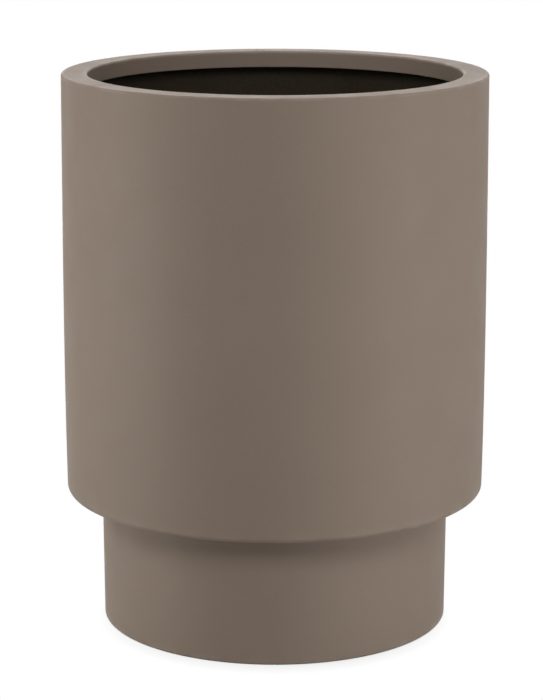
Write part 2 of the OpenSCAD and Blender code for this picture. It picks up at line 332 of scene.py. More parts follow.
def patches(tree, place, per_metre, detail):
    """Soft-edged patches of noise over a place, 0 to 1."""
    return between(tree, grain(tree, place, per_metre, detail), 0.3, 0.7)


def sums(tree, kind, a, b):
    """Two numbers put together: kind is ADD, MULTIPLY, MAXIMUM and so on."""
    return shader_node(tree, "Math", {0: a, 1: b}, operation=kind).outputs[0]


def blend_colour(tree, share, a, b):
    """Colour a turning to colour b as share goes from 0 to 1."""
    return shader_node(tree, "Mix", {0: share, 6: a, 7: b}, data_type="RGBA").outputs[2]


def new_finish(name, surface, **even):
    """A material from a function that describes its surface over the object's own coordinates.

    That function gives the colour, the roughness, and the relief's height, 0 to 1, and its metres.
    even are the shader's values that are the same all over the surface.
    """
    material = bpy.data.materials.new(name)
    material.use_nodes = True
    tree = material.node_tree
    shader = tree.nodes["Principled BSDF"]
    for key, value in even.items():
        shader.inputs[key.replace("_", " ")].default_value = value
    place = shader_node(tree, "TexCoord").outputs["Object"]
    colour, gloss, height, metres = surface(tree, place)
    bump = shader_node(tree, "Bump", {"Height": height, "Distance": metres, "Strength": 1.0})
    for key, value in (("Base Color", colour), ("Roughness", gloss), ("Normal", bump.outputs["Normal"])):
        tree.links.new(value, shader.inputs[key])
    return material


def edge_wear(tree, place, per_metre, amount):
    """Wear along the edges: the mesh's edge value broken up by patches, 0 to that amount."""
    edge = shader_node(tree, "Attribute", attribute_name="edge").outputs["Fac"]
    rubbed = between(tree, grain(tree, place, per_metre, 3.0), 0.35, 0.62)
    return sums(tree, "MULTIPLY", sums(tree, "MULTIPLY", edge, rubbed), amount)


def taupe_paint(tree, place):
    """Satin taupe paint: clouds and specks of colour, orange peel, edges rubbed paler and glossier."""
    clouds, specks = grain(tree, place, 11.0, 3.0), patches(tree, place, 800.0, 1.0)
    tone = sums(tree, "ADD", sums(tree, "MULTIPLY", clouds, 0.55), sums(tree, "MULTIPLY", specks, 0.45))
    colour = blend_colour(tree, between(tree, tone, 0.3, 0.7),
                          (0.2495, 0.1945, 0.1535, 1), (0.2645, 0.2060, 0.1625, 1))
    wear = edge_wear(tree, place, 45.0, 0.4)
    colour = blend_colour(tree, wear, colour, (0.330, 0.262, 0.212, 1))
    gloss = between(tree, grain(tree, place, 34.0, 3.0), 0.3, 0.7, 0.56, 0.66)
    gloss = sums(tree, "SUBTRACT", gloss, sums(tree, "MULTIPLY", wear, 0.25))
    peel = grain(tree, place, 430.0, 1.0)
    long_peel = sums(tree, "MULTIPLY", grain(tree, place, 70.0, 1.0), 2.0)
    return colour, gloss, sums(tree, "ADD", peel, long_peel), 0.00003


def chopped_strands(tree):
    """Strands of chopped glass in all directions over the UV map, 0 to 1.

    Seven noises, each stretched about nine times along its own direction, and the strongest counts.
    """
    flat = shader_node(tree, "TexCoord").outputs["UV"]
    strongest = None
    for k in range(7):
        turned_place = shader_node(tree, "Mapping", {
            "Vector": flat, "Location": (0.37 * k, 0.61 * k, 0.0),
            "Rotation": (0.0, 0.0, 0.4 + 0.449 * k), "Scale": (0.018, 0.0021, 1.0),
        }, vector_type="TEXTURE").outputs["Vector"]
        strand = between(tree, grain(tree, turned_place, 1.0, 0.0), 0.60, 0.74)
        strongest = strand if strongest is None else sums(tree, "MAXIMUM", strongest, strand)
    return strongest


def black_coat(tree, place):
    """Brushed black coat over chopped strands: satin, finely stippled, with the strands faint in it."""
    strands = chopped_strands(tree)
    stipple, clouds = grain(tree, place, 560.0, 3.0), grain(tree, place, 16.0, 3.0)
    colour = blend_colour(tree, between(tree, clouds, 0.3, 0.7),
                          (0.0205, 0.0140, 0.0062, 1), (0.0265, 0.0182, 0.0082, 1))
    pale = sums(tree, "ADD", sums(tree, "MULTIPLY", strands, 0.12), edge_wear(tree, place, 90.0, 0.3))
    colour = blend_colour(tree, pale, colour, (0.055, 0.045, 0.034, 1))
    gloss = sums(tree, "ADD", clouds, sums(tree, "MULTIPLY", stipple, 0.5))
    gloss = between(tree, gloss, 0.5, 1.0, 0.42, 0.62)
    height = sums(tree, "ADD", stipple, sums(tree, "MULTIPLY", strands, 0.6))
    return colour, gloss, height, 0.0001


paint = new_finish("taupe_paint", taupe_paint, Specular_IOR_Level=0.15)
black = new_finish("black_coat", black_coat, Specular_IOR_Level=0.2)
angles = ring_angles()
flange_top = drum_foot + wall_thick
drum_corner, inner_corner = drum_foot + drum_edge_round, flange_top + drum_edge_round
outer_bend_r = wall_radius(drum_corner) - drum_edge_round
inner_bend_r = wall_radius(inner_corner) - wall_thick - drum_edge_round
hole_in, hole_out = bolt_ring - bolt_hole, bolt_ring + bolt_hole
reach = flange_reach + trim_round
seat_r = drum_radius - wall_thick
drum_profile, drum_rows = joined([
    (0, wall_run(drum_top, drum_corner, 0.0, 56)),
    (0, bend((outer_bend_r, drum_corner), drum_edge_round, 0, -90, 12)),
    (0, (outer_bend_r, drum_foot), 8),
    (0, (hole_out, drum_foot), hole_steps),
    (0, (hole_in, drum_foot), 6),
    (1, bend((reach, drum_foot + trim_round), trim_round, -90, -180, 4)),
    (1, (flange_reach, drum_foot + trim_round), 2),
    (1, bend((reach, flange_top - trim_round), trim_round, 180, 90, 4)),
    (1, (reach, flange_top), 6),
    (1, (hole_in, flange_top), hole_steps),
    (1, (hole_out, flange_top), 8),
    (1, bend((inner_bend_r, inner_corner), drum_edge_round, -90, 0, 6)),
    (1, wall_run(inner_corner, seat_fade, wall_thick, 84)),
    (1, (wall_radius(seat_fade) - wall_thick, seat_fade), 5),
    (1, (seat_r, seat_foot), 4),
    (1, (seat_r, drum_top), 2),
])
drum_grid, drum_normal = turned(drum_profile, angles)
inside_wall = (drum_rows == 1) & (drum_profile[:, 0] > inner_bend_r + 0.9 * drum_edge_round)
z = drum_profile[:, 1]
fade = rising(z - swell_foot, swell_foot_run) * rising(seat_foot - swell_top_gap - z, swell_top_run)
fade *= inside_wall
drum_grid += drum_normal * (hand_laid(drum_grid, 11) * laid_swell * fade[:, None])[..., None]
drum = make_piece("drum_laminate", open_bolt_holes(drum_grid, angles), [paint, black], drum_rows,
                  bolt_edges=[bolt_rows(drum_profile, z) for z in (flange_top, drum_foot)])
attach(drum, "planter")
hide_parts("drum_shell")

# Rolled rim
# A separate laminate moulding: a flat top with small rounded edges, a lip turned down into the mouth,
# and a skirt that is bonded inside the drum's wall. It is painted with the drum.
rim_top, rim_opening, rim_edge_round, rim_mouth_round = 0.600, 0.200, 0.0025, 0.0025
lip_foot, lip_edge_round, rim_hollow = 0.5815, 0.001, 0.0025
skirt_out, skirt_in = 0.222, 0.217
rim_under = rim_top - wall_thick
lip_back = rim_opening + wall_thick
rim_profile, rim_rows = joined([
    (0, bend((rim_opening + rim_mouth_round, rim_top - rim_mouth_round), rim_mouth_round, 180, 90, 16)),
    (0, (rim_opening + rim_mouth_round, rim_top), 8),
    (0, bend((drum_radius - rim_edge_round, rim_top - rim_edge_round), rim_edge_round, 90, 0, 12)),
    (0, (drum_radius, rim_top - rim_edge_round), 2),
    (1, (drum_radius, rim_under), 2),
    (1, (skirt_out, rim_under), 5),
    (1, (skirt_out, seat_foot), 2),
    (1, (skirt_in, seat_foot), 8),
    (1, bend((skirt_in - rim_hollow, rim_under - rim_hollow), rim_hollow, 0, 90, 6)),
    (1, (skirt_in - rim_hollow, rim_under), 3),
    (1, bend((lip_back + rim_hollow, rim_under - rim_hollow), rim_hollow, 90, 180, 6)),
    (1, (lip_back, rim_under - rim_hollow), 4),
    (1, bend((lip_back - lip_edge_round, lip_foot + lip_edge_round), lip_edge_round, 0, -90, 4)),
    (0, (lip_back - lip_edge_round, lip_foot), 2),
    (0, bend((rim_opening + lip_edge_round, lip_foot + lip_edge_round), lip_edge_round, -90, -180, 5)),
    (0, (rim_opening, lip_foot + lip_edge_round), 5),
])
rim = make_piece("rolled_rim", turned(rim_profile, angles)[0], [paint, black], rim_rows)
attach(rim, "planter")
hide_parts("rim_ring")

# Bonding paste
# Filled polyester paste joins the rim to the drum. It fills the gap behind the skirt, is sanded flush
# and painted where it meets the outside, and a small bead of it stands out under the skirt.
bead_drop, bead_r, bead_inset, bead_under = 0.0024, 0.0021, 0.0003, 0.0014
bead_swell, bead_middle, bead_run = 0.0012, 0.6, 0.0008


def bonding_paste(tree, place):
    """Grey filled paste, matt and clouded, with fine grit."""
    cloud = patches(tree, place, 60.0, 4.0)
    colour = blend_colour(tree, cloud, (0.10, 0.095, 0.08, 1), (0.14, 0.13, 0.11, 1))
    gloss = between(tree, cloud, 0.0, 1.0, 0.55, 0.7)
    return colour, gloss, grain(tree, place, 900.0, 3.0), 0.00015


paste_profile, paste_rows = joined([
    (0, (drum_radius, rim_under), 2),
    (1, (drum_radius, drum_top), 2),
    (1, run((seat_r, drum_top), (seat_r, seat_foot - bead_drop), 8)),
    (1, bend((seat_r - bead_inset, seat_foot - bead_inset), bead_r, -82, -170, 8)),
    (1, (skirt_out - bead_under, seat_foot), 3),
    (1, (skirt_out, seat_foot), 5),
    (1, (skirt_out, rim_under), 2),
])
paste_grid, paste_normal = turned(paste_profile, angles)
low = rising(seat_foot - paste_profile[:, 1], bead_run)
swell = hand_laid(paste_grid, 23, shortest=0.008, longest=0.03) - bead_middle
swell *= bead_swell * low[:, None]
paste_grid += paste_normal * swell[..., None]
paste_finish = new_finish("bonding_paste", bonding_paste)
paste = make_piece("bonding_paste", paste_grid, [paint, paste_finish], paste_rows)
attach(paste, "planter")
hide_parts("rim_bond")

# Floor panel
# A stiff disc of laminate over a core lies on the drum's flange. Inside the bolt ring it is dished, so
# that water runs to the drain, and its top has the same black coat as the wall.
floor_top, floor_fall = 0.161, 0.004
dish_r, drain_recess_r, drain_hole_r = 0.151, 0.028, 0.0165
sleeve_seat, panel_gap = 0.154, 0.0005
top_swell_in, top_swell_in_run, top_swell_out_gap, top_swell_out_run = 0.032, 0.012, 0.010, 0.008
under_swell_in, under_swell_out_gap, under_swell_run = 0.030, 0.004, 0.010
panel_r = inner_bend_r - panel_gap
dish_foot = floor_top - floor_fall


def raw_laminate(tree, place):
    """Bare polyester laminate: pale chopped strands in a grey-green resin, with resin-rich places."""
    strands = chopped_strands(tree)
    rich = between(tree, grain(tree, place, 22.0, 4.0), 0.35, 0.68)
    resin = blend_colour(tree, rich, (0.30, 0.285, 0.215, 1), (0.225, 0.215, 0.155, 1))
    pale = sums(tree, "ADD", sums(tree, "MULTIPLY", strands, 0.5), edge_wear(tree, place, 60.0, 0.4))
    colour = blend_colour(tree, pale, resin, (0.46, 0.445, 0.38, 1))
    gloss = between(tree, rich, 0.0, 1.0, 0.48, 0.26)
    return colour, gloss, sums(tree, "ADD", strands, grain(tree, place, 300.0, 2.0)), 0.0002


laminate = new_finish("raw_laminate", raw_laminate)
panel_profile, panel_rows = joined([
    (0, (drain_recess_r, dish_foot), 34),
    (0, (dish_r, floor_top), 4),
    (0, (hole_in, floor_top), hole_steps),
    (0, (hole_out, floor_top), 10),
    (1, (panel_r, floor_top), 2),
    (1, (panel_r, flange_top), 8),
    (1, (hole_out, flange_top), hole_steps),
    (1, (hole_in, flange_top), 4),
    (1, (flange_reach, flange_top), 34),
    (1, (drain_hole_r, flange_top), 2),
    (1, (drain_hole_r, sleeve_seat), 2),
    (0, (drain_recess_r, sleeve_seat), 2),
])
panel_grid = turned(panel_profile, angles)[0]
r, z = panel_profile[:, 0], panel_profile[:, 1]
open_top = rising(r - top_swell_in, top_swell_in_run) * (z > (sleeve_seat + dish_foot) / 2)
open_top *= rising(hole_in - top_swell_out_gap - r, top_swell_out_run)
open_under = rising(r - under_swell_in, under_swell_run) * (z < flange_top + 1e-6)
open_under *= rising(flange_reach - under_swell_out_gap - r, under_swell_run)
panel_grid[..., 2] += (hand_laid(panel_grid, 31) - 0.5) * laid_swell * (open_top + open_under)[:, None]
panel = make_piece("dished_floor", open_bolt_holes(panel_grid, angles), [black, laminate], panel_rows,
                   bolt_edges=[bolt_rows(panel_profile, z) for z in (floor_top, flange_top)],
                   flat_map=True)
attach(panel, "planter")
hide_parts("floor_panel")

# Corner laminate
# Strips of laminate are laid in the corner of floor and wall to hold and seal the floor. They cove the
# corner, thin out at both edges, whose line wanders a little, and are coated black with the rest.
corner_thick, corner_top, corner_in = 0.003, 0.206, 0.185
corner_edge, corner_edge_fall, corner_thin_run, cove = 0.0006, 0.0004, 0.010, 0.015
corner_wander, corner_wander_run = 0.0022, 0.020
face_r = wall_radius(inner_corner) - wall_thick - corner_thick
top_r = wall_radius(corner_top) - wall_thick
thin_above = (top_r - corner_edge, corner_top - corner_edge_fall)
full_above = (top_r - corner_thick, corner_top - corner_thin_run)
full_inside = (corner_in + corner_thin_run, floor_top + corner_thick)
thin_inside = (corner_in + corner_edge_fall, floor_top + corner_edge)
# The stretches that lie against floor and wall have number 0, and the open ones number 1.
corner_profile, open_face = joined([
    (0, (corner_in, floor_top), 10),
    (0, (panel_r, floor_top), 3),
    (0, (panel_r, flange_top), 1),
    (0, bend((inner_bend_r, inner_corner), drum_edge_round, -90, 0, 6)),
    (0, wall_run(inner_corner, corner_top, wall_thick, 10)),
    (0, (top_r, corner_top), 2),
    (1, thin_above, 6),
    (1, full_above, 6),
    (1, bend((face_r - cove, floor_top + corner_thick + cove), cove, 0, -90, 12)),
    (1, (face_r - cove, floor_top + corner_thick), 3),
    (1, full_inside, 6),
    (1, thin_inside, 2),
])
corner_grid, corner_normal = turned(corner_profile, angles)
r, z = corner_profile[:, 0], corner_profile[:, 1]
climb = rising(z - (corner_top - corner_wander_run), corner_wander_run)
creep = rising(corner_in + corner_wander_run - r, corner_wander_run)
wander = hand_laid(corner_grid[0] * [1, 1, 0], 41, shortest=0.02, longest=0.12)
corner_grid[..., 2] -= corner_wander * climb[:, None] * wander
inwards = corner_grid[..., :2] / np.linalg.norm(corner_grid[..., :2], axis=-1, keepdims=True)
corner_grid[..., :2] += inwards * (corner_wander * creep[:, None] * (1 - wander))[..., None]
swell = hand_laid(corner_grid, 43, shortest=0.01, longest=0.04) * laid_swell * open_face[:, None]
corner_grid += corner_normal * swell[..., None]
corner = make_piece("corner_laminate", corner_grid, [black])
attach(corner, "planter")
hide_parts("floor_tabbing")

# Drain sleeve
# A turned grey plastic sleeve with a flange is bonded through the floor, so that no water gets into its
# core. Its flange lies flush in the recess at the floor's lowest place.
sleeve_bore, sleeve_r, sleeve_flange_r, sleeve_foot = 0.0125, 0.016, 0.0275, 0.136
sleeve_round = 0.0005


def grey_plastic(tree, place):
    """Satin grey plastic with the fine rings of a lathe tool."""
    cloud = patches(tree, place, 120.0, 2.0)
    colour = blend_colour(tree, cloud, (0.150, 0.158, 0.160, 1), (0.180, 0.188, 0.190, 1))
    colour = blend_colour(tree, edge_wear(tree, place, 300.0, 0.6), colour, (0.27, 0.28, 0.28, 1))
    rings = shader_node(tree, "TexWave", {"Vector": place, "Scale": 700.0, "Distortion": 0.6},
                        wave_type="RINGS", rings_direction="Z").outputs["Fac"]
    return colour, between(tree, cloud, 0.0, 1.0, 0.38, 0.5), rings, 0.00003


def edged(points, radius, steps=4):
    """A closed (r, z) outline with its corners rounded.

    At each corner the outline leaves the straight at the radius times the tangent of half the turn
    before it, and follows the arc that touches both sides.
    """
    corners = np.asarray(points, dtype=float)
    rounded = []
    for before, at, after in zip(np.roll(corners, 1, axis=0), corners, np.roll(corners, -1, axis=0)):
        back, ahead = (before - at), (after - at)
        back, ahead = back / np.linalg.norm(back), ahead / np.linalg.norm(ahead)
        half = math.acos(np.clip(back @ ahead, -1, 1)) / 2
        cut = radius / math.tan(half)
        share = np.linspace(0, 1, steps + 1)[:, None]
        middle = at + (back + ahead) / np.linalg.norm(back + ahead) * radius / math.sin(half)
        way = (at + back * cut - middle) * (1 - share) + (at + ahead * cut - middle) * share
        rounded.append(middle + radius * way / np.linalg.norm(way, axis=1, keepdims=True))
    return np.concatenate(rounded)


def even_turn(count):
    """That many angles, evenly spaced round a full turn."""
    return np.linspace(0, 2 * math.pi, count, endpoint=False)


sleeve_profile = edged([
    (sleeve_bore, sleeve_foot), (sleeve_bore, dish_foot), (sleeve_flange_r, dish_foot),
    (sleeve_flange_r, sleeve_seat), (sleeve_r, sleeve_seat), (sleeve_r, sleeve_foot)], sleeve_round)
sleeve_turn = even_turn(96)
grey = new_finish("grey_plastic", grey_plastic, Specular_IOR_Level=0.45)
sleeve = make_piece("drain_bush", turned(sleeve_profile, sleeve_turn)[0], [grey])
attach(sleeve, "planter")
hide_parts("drain_sleeve")

# Plinth shell
# The set-back foot is a second laminate moulding, painted outside and bare inside, with a flange turned
# in at its top for the bolts and one at its foot to stand on. Its upper edge is rounded, and its foot's
# edge slightly.
plinth_foot, plinth_top = 0.001, 0.143
plinth_top_r, plinth_foot_r = 0.190, 0.189
top_flange_in, foot_flange_in = 0.150, 0.160
plinth_edge_round, plinth_hollow, foot_edge_round, plinth_swell_run = 0.003, 0.004, 0.0005, 0.010
under_flange = plinth_top - wall_thick
over_foot = plinth_foot + wall_thick
top_in_r, foot_in_r = plinth_top_r - wall_thick, plinth_foot_r - wall_thick
shoulder_r, shoulder_z = plinth_top_r - plinth_edge_round, plinth_top - plinth_edge_round
heel_r, heel_z = plinth_foot_r - foot_edge_round, plinth_foot + foot_edge_round
plinth_profile, plinth_rows = joined([
    (0, (hole_in, plinth_top), hole_steps),
    (0, (hole_out, plinth_top), 4),
    (0, bend((shoulder_r, shoulder_z), plinth_edge_round, 90, 0, 8)),
    (0, (plinth_top_r, shoulder_z), 18),
    (0, bend((heel_r, heel_z), foot_edge_round, 0, -90, 4)),
    (0, (heel_r, plinth_foot), 6),
    (1, (foot_flange_in, plinth_foot), 3),
    (1, (foot_flange_in, over_foot), 8),
    (1, bend((foot_in_r - plinth_hollow, over_foot + plinth_hollow), plinth_hollow, -90, 0, 6)),
    (1, (foot_in_r, over_foot + plinth_hollow), 32),
    (1, bend((top_in_r - plinth_hollow, under_flange - plinth_hollow), plinth_hollow, 0, 90, 6)),
    (1, (top_in_r - plinth_hollow, under_flange), 3),
    (1, (hole_out, under_flange), hole_steps),
    (1, (hole_in, under_flange), 5),
    (1, (top_flange_in, under_flange), 3),
    (1, (top_flange_in, plinth_top), 5),
])
plinth_grid, plinth_normal = turned(plinth_profile, angles)
r, z = plinth_profile[:, 0], plinth_profile[:, 1]
inner_face = (plinth_rows == 1) & (r > foot_in_r - 0.5 * plinth_hollow)
fade = inner_face * rising(z - over_foot, plinth_swell_run) * rising(under_flange - z, plinth_swell_run)
plinth_grid += plinth_normal * (hand_laid(plinth_grid, 53) * laid_swell * fade[:, None])[..., None]
plinth = make_piece("plinth_laminate", open_bolt_holes(plinth_grid, angles), [paint, laminate],
                    plinth_rows,
                    bolt_edges=[bolt_rows(plinth_profile, z) for z in (plinth_top, under_flange)])
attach(plinth, "planter")
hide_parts("plinth_shell")

# Joint gasket
# A flat ring of black rubber lies between the plinth's top flange and the drum's underside. The bolts
# squeeze it, so its edges bulge a little.
gasket_in, gasket_out, gasket_round, gasket_edge = 0.152, 0.185, 0.00035, 0.0003


def black_rubber(tree, place):
    """Matt black rubber with a fine pebble and a dusty bloom, paler along rubbed edges."""
    bloom = between(tree, grain(tree, place, 90.0, 4.0), 0.35, 0.7)
    colour = blend_colour(tree, bloom, (0.022, 0.022, 0.022, 1), (0.042, 0.041, 0.040, 1))
    colour = blend_colour(tree, edge_wear(tree, place, 240.0, 0.6), colour, (0.075, 0.073, 0.070, 1))
    gloss = between(tree, bloom, 0.0, 1.0, 0.58, 0.78)
    return colour, gloss, grain(tree, place, 1500.0, 2.0), 0.00005


rubber = new_finish("black_rubber", black_rubber, Specular_IOR_Level=0.3)
gasket_in_r, gasket_out_r = gasket_in + gasket_round, gasket_out - gasket_round
gasket_profile = joined([
    (0, (gasket_in_r, drum_foot), 4),
    (0, (hole_in, drum_foot), hole_steps),
    (0, run((hole_out, drum_foot), (gasket_out_r, drum_foot), 4)),
    (0, [(gasket_out, drum_foot - gasket_edge), (gasket_out, plinth_top + gasket_edge)]),
    (0, (gasket_out_r, plinth_top), 4),
    (0, (hole_out, plinth_top), hole_steps),
    (0, (hole_in, plinth_top), 4),
    (0, [(gasket_in_r, plinth_top), (gasket_in, plinth_top + gasket_edge)]),
    (0, [(gasket_in, drum_foot - gasket_edge)]),
])[0]
gasket = make_piece("flat_gasket", open_bolt_holes(turned(gasket_profile, angles)[0], angles), [rubber],
                    bolt_edges=[bolt_rows(gasket_profile, z) for z in (drum_foot, plinth_top)])
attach(gasket, "planter")
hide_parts("joint_gasket")

# Joint bolts
# Six stainless hexagon bolts, 8 mm thick and 40 mm long, clamp floor, drum and plinth together. Their
# heads are chamfered on a lathe, and 3 mm of rolled thread shows below each nut.
bolt_r, bolt_tip, head_seat, head_top = 0.004, 0.125, 0.165, 0.1703
across_flats, thread_pitch, thread_depth, thread_top, thread_fade = 0.013, 0.00125, 0.00065, 0.147, 0.002
head_chamfer_r, chamfer_angle = 0.95 * across_flats / 2, math.radians(30)
dimple_r, dimple_edge_r, dimple_deep = 0.0035, 0.0045, 0.0002
head_edge, face_lift, face_edge_r, face_r, shank_drop = 0.0003, 0.0002, 0.0063, 0.0062, 0.0005
tip_chamfer, thread_end_rise, least_core = 0.0010, 0.0012, 0.8
bolt_places = [(bolt_ring, k * 2 * math.pi / bolt_count) for k in range(bolt_count)]


def hexagon_radius(turn):
    """Distance from the middle to a hexagon's side at each turn.

    It is the half width over the cosine of the angle past the nearest flat's middle, and those lie
    at 30 degrees and every 60 on.
    """
    past = (turn + math.pi / 3) % (math.pi / 3) - math.pi / 6
    return across_flats / 2 / np.cos(past)


def stainless_steel(tree, place):
    """Plain stainless steel: brushed, with clouded gloss and thin scratches."""
    stretched = shader_node(tree, "Mapping", {
        "Vector": place, "Rotation": (0.3, 0.2, 0.5), "Scale": (1.0, 18.0, 18.0)}).outputs["Vector"]
    scratches = grain(tree, stretched, 160.0, 4.0)
    cloud = grain(tree, place, 240.0, 3.0)
    colour = blend_colour(tree, between(tree, cloud, 0.3, 0.7),
                          (0.50, 0.495, 0.48, 1), (0.60, 0.595, 0.58, 1))
    wear = edge_wear(tree, place, 500.0, 0.7)
    colour = blend_colour(tree, wear, colour, (0.74, 0.735, 0.72, 1))
    gloss = between(tree, sums(tree, "ADD", scratches, cloud), 0.7, 1.3, 0.22, 0.42)
    gloss = sums(tree, "SUBTRACT", gloss, sums(tree, "MULTIPLY", wear, 0.12))
    return colour, gloss, scratches, 0.00004


steel = new_finish("stainless_steel", stainless_steel, Metallic=1.0)
bolt_turn = even_turn(48)
hexagon = hexagon_radius(bolt_turn)
# Rows with this radius get the hexagon's instead, which is smaller.
past_hexagon = 1.0
chamfer_drop = (hexagon.max() - head_chamfer_r) * math.tan(chamfer_angle)
thread_z = np.arange(thread_top, bolt_tip + thread_end_rise, -thread_pitch / 8)
bolt_profile = joined([
    (0, [(0.0, head_top - dimple_deep)]),
    (0, (dimple_r, head_top - dimple_deep), 3),
    (0, (dimple_edge_r, head_top), 2),
    (0, run((head_chamfer_r, head_top), (hexagon.max(), head_top - chamfer_drop), 7)),
    (0, [(past_hexagon, head_top - chamfer_drop), (past_hexagon, head_seat + head_edge)]),
    (0, [(face_edge_r, head_seat + face_lift), (face_r, head_seat), (bolt_r, head_seat)]),
    (0, (bolt_r, head_seat - shank_drop), 4),
    (0, np.stack([np.full(len(thread_z), bolt_r), thread_z], axis=1)),
    (0, (bolt_r, bolt_tip + tip_chamfer), 5),
    (0, [(bolt_r - tip_chamfer, bolt_tip), (0.0, bolt_tip)]),
])[0]
radius, z = bolt_profile[:, :1], bolt_profile[:, 1:]
bolt_grid_r = np.minimum(radius, np.where(z > head_seat + face_lift / 2, hexagon[None], past_hexagon))
# The groove follows a helix, its height in pitches less the turn, with a flat root and a flat crest,
# and it grows shallow where the thread starts.
ridge = abs((z / thread_pitch - bolt_turn[None] / (2 * math.pi)) % 1 * 2 - 1)
in_thread = rising(thread_top - z, thread_fade) * (z > bolt_tip + 1e-5)
groove = np.clip(1.15 - 1.3 * ridge, 0, 1) * thread_depth * in_thread
bolt_grid_r = np.minimum(bolt_grid_r, np.maximum(bolt_r - groove, bolt_grid_r * least_core))
bolt_grid_r[0], bolt_grid_r[-1] = 0.0, 0.0


def bolt_grid(grid_r, z):
    """The points of a grid of radii round a bolt's middle, with one height to each row."""
    return np.stack([grid_r * np.cos(bolt_turn), grid_r * np.sin(bolt_turn),
                     np.repeat(z, len(bolt_turn), axis=1)], axis=-1)


bolts = make_piece("hexagon_bolts", bolt_grid(bolt_grid_r, z), [steel], ends_meet=False,
                   places=bolt_places)
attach(bolts, "planter")
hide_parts("joint_bolts")

# Seal washers
# Under each steel washer on the floor lies a rubber one that keeps the bolt hole watertight. It is
# punched from sheet and bulges where it is squeezed.
washer_thick, seal_out, seal_bulge, seal_in = 0.002, 0.011, 0.001, bolt_r + 0.00005
seal_top, bulge_r = floor_top + washer_thick, seal_out - seal_bulge
seal_profile = joined([
    (0, bend((bulge_r, floor_top + washer_thick / 2), seal_bulge, 88, -88, 9)),
    (0, (bulge_r, floor_top), 3),
    (0, (seal_in, floor_top), 2),
    (0, run((seal_in, seal_top), (bulge_r, seal_top), 3)),
])[0]
washer_turn = even_turn(64)
seals = make_piece("rubber_washers", turned(seal_profile, washer_turn)[0], [rubber], places=bolt_places)
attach(seals, "planter")
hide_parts("seal_washers")

# Upper washers
# Wide stainless washers lie between the bolt heads and the rubber ones and spread the load over the
# floor panel. They are punched, so their edges are slightly rounded.
washer_out, washer_in, washer_round = 0.012, bolt_r + 0.0002, 0.00025


def steel_washers(name, foot):
    """Six wide washers whose undersides are at height foot: a square outline with rounded corners."""
    top = foot + washer_thick
    outline = [(washer_in, foot), (washer_in, top), (washer_out, top), (washer_out, foot)]
    profile = edged(outline, washer_round, 3)
    return make_piece(name, turned(profile, washer_turn)[0], [steel], places=bolt_places)


upper_washers = steel_washers("head_washers", floor_top + washer_thick)
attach(upper_washers, "planter")
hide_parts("upper_washers")

# Lower washers
# The same stainless washers spread the load of the nuts over the plinth's top flange, and lie against
# its bare laminate from below.
lower_washers = steel_washers("nut_washers", under_flange - washer_thick)
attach(lower_washers, "planter")
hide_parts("lower_washers")

# Lock nuts
# Self-locking stainless nuts, chamfered above, with a round collar below that is rolled over a ring of
# white plastic.
nut_top, nut_foot, collar_top, collar_r = 0.136, 0.128, 0.1296, 0.88 * across_flats / 2
nut_in = bolt_r + 0.00005
collar_round, collar_curl, collar_seat_r, collar_step = 0.0006, 0.0007, 0.0064, 0.0004
insert_outer, insert_mouth = (0.0050, nut_foot + 0.0002), (bolt_r + 0.00015, nut_foot + 0.0003)
insert_lead, insert_end = (nut_in, nut_foot + 0.0004), (nut_in, nut_foot + 0.002)


def white_plastic(tree, place):
    """Milky plastic of the locking ring, its gloss a little uneven and its surface finely pitted."""
    cloud = patches(tree, place, 400.0, 2.0)
    colour = blend_colour(tree, cloud, (0.55, 0.55, 0.52, 1), (0.66, 0.66, 0.63, 1))
    gloss = between(tree, cloud, 0.0, 1.0, 0.35, 0.5)
    return colour, gloss, grain(tree, place, 2200.0, 2.0), 0.00002


nut_profile, nut_rows = joined([
    (0, (nut_in, nut_top), 3),
    (0, run((head_chamfer_r, nut_top), (hexagon.max(), nut_top - chamfer_drop), 7)),
    (0, [(past_hexagon, nut_top - chamfer_drop), (past_hexagon, collar_top + collar_step)]),
    (0, [(collar_seat_r, collar_top)]),
    (0, (collar_r, collar_top), 3),
    (0, bend((collar_r - collar_round, nut_foot + collar_round), collar_round, 0, -100, 6)),
    (0, (collar_r - collar_curl, nut_foot), 2),
    (1, run(insert_outer, insert_mouth, 3)),
    (1, insert_lead, 2),
    (0, insert_end, 3),
])
nut_grid = bolt_grid(np.minimum(nut_profile[:, :1], hexagon[None]), nut_profile[:, 1:])
milky = new_finish("white_plastic", white_plastic)
nuts = make_piece("locking_nuts", nut_grid, [steel, milky], nut_rows, places=bolt_places)
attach(nuts, "planter")
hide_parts("lock_nuts")

# Foot pads
# Thin rubber discs are stuck under the plinth's foot flange, one at the angle of each bolt. They keep it
# off the ground and level.
pad_r, pad_ring, pad_round, pad_face_r = 0.013, 0.1745, 0.0003, 0.004
pad_flat_r = pad_r - pad_round
pad_profile = joined([
    (0, [(0.0, plinth_foot)]),
    (0, (pad_face_r, plinth_foot), 3),
    (0, bend((pad_flat_r, plinth_foot - pad_round), pad_round, 90, 0, 3)),
    (0, bend((pad_flat_r, pad_round), pad_round, 0, -90, 3)),
    (0, run((pad_flat_r, 0.0), (pad_face_r, 0.0), 3)),
    (0, [(0.0, 0.0)]),
])[0]
pads = make_piece("rubber_pads", turned(pad_profile, washer_turn)[0], [rubber], ends_meet=False,
                  places=[(pad_ring, angle) for _, angle in bolt_places])
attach(pads, "planter")
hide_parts("foot_pads")

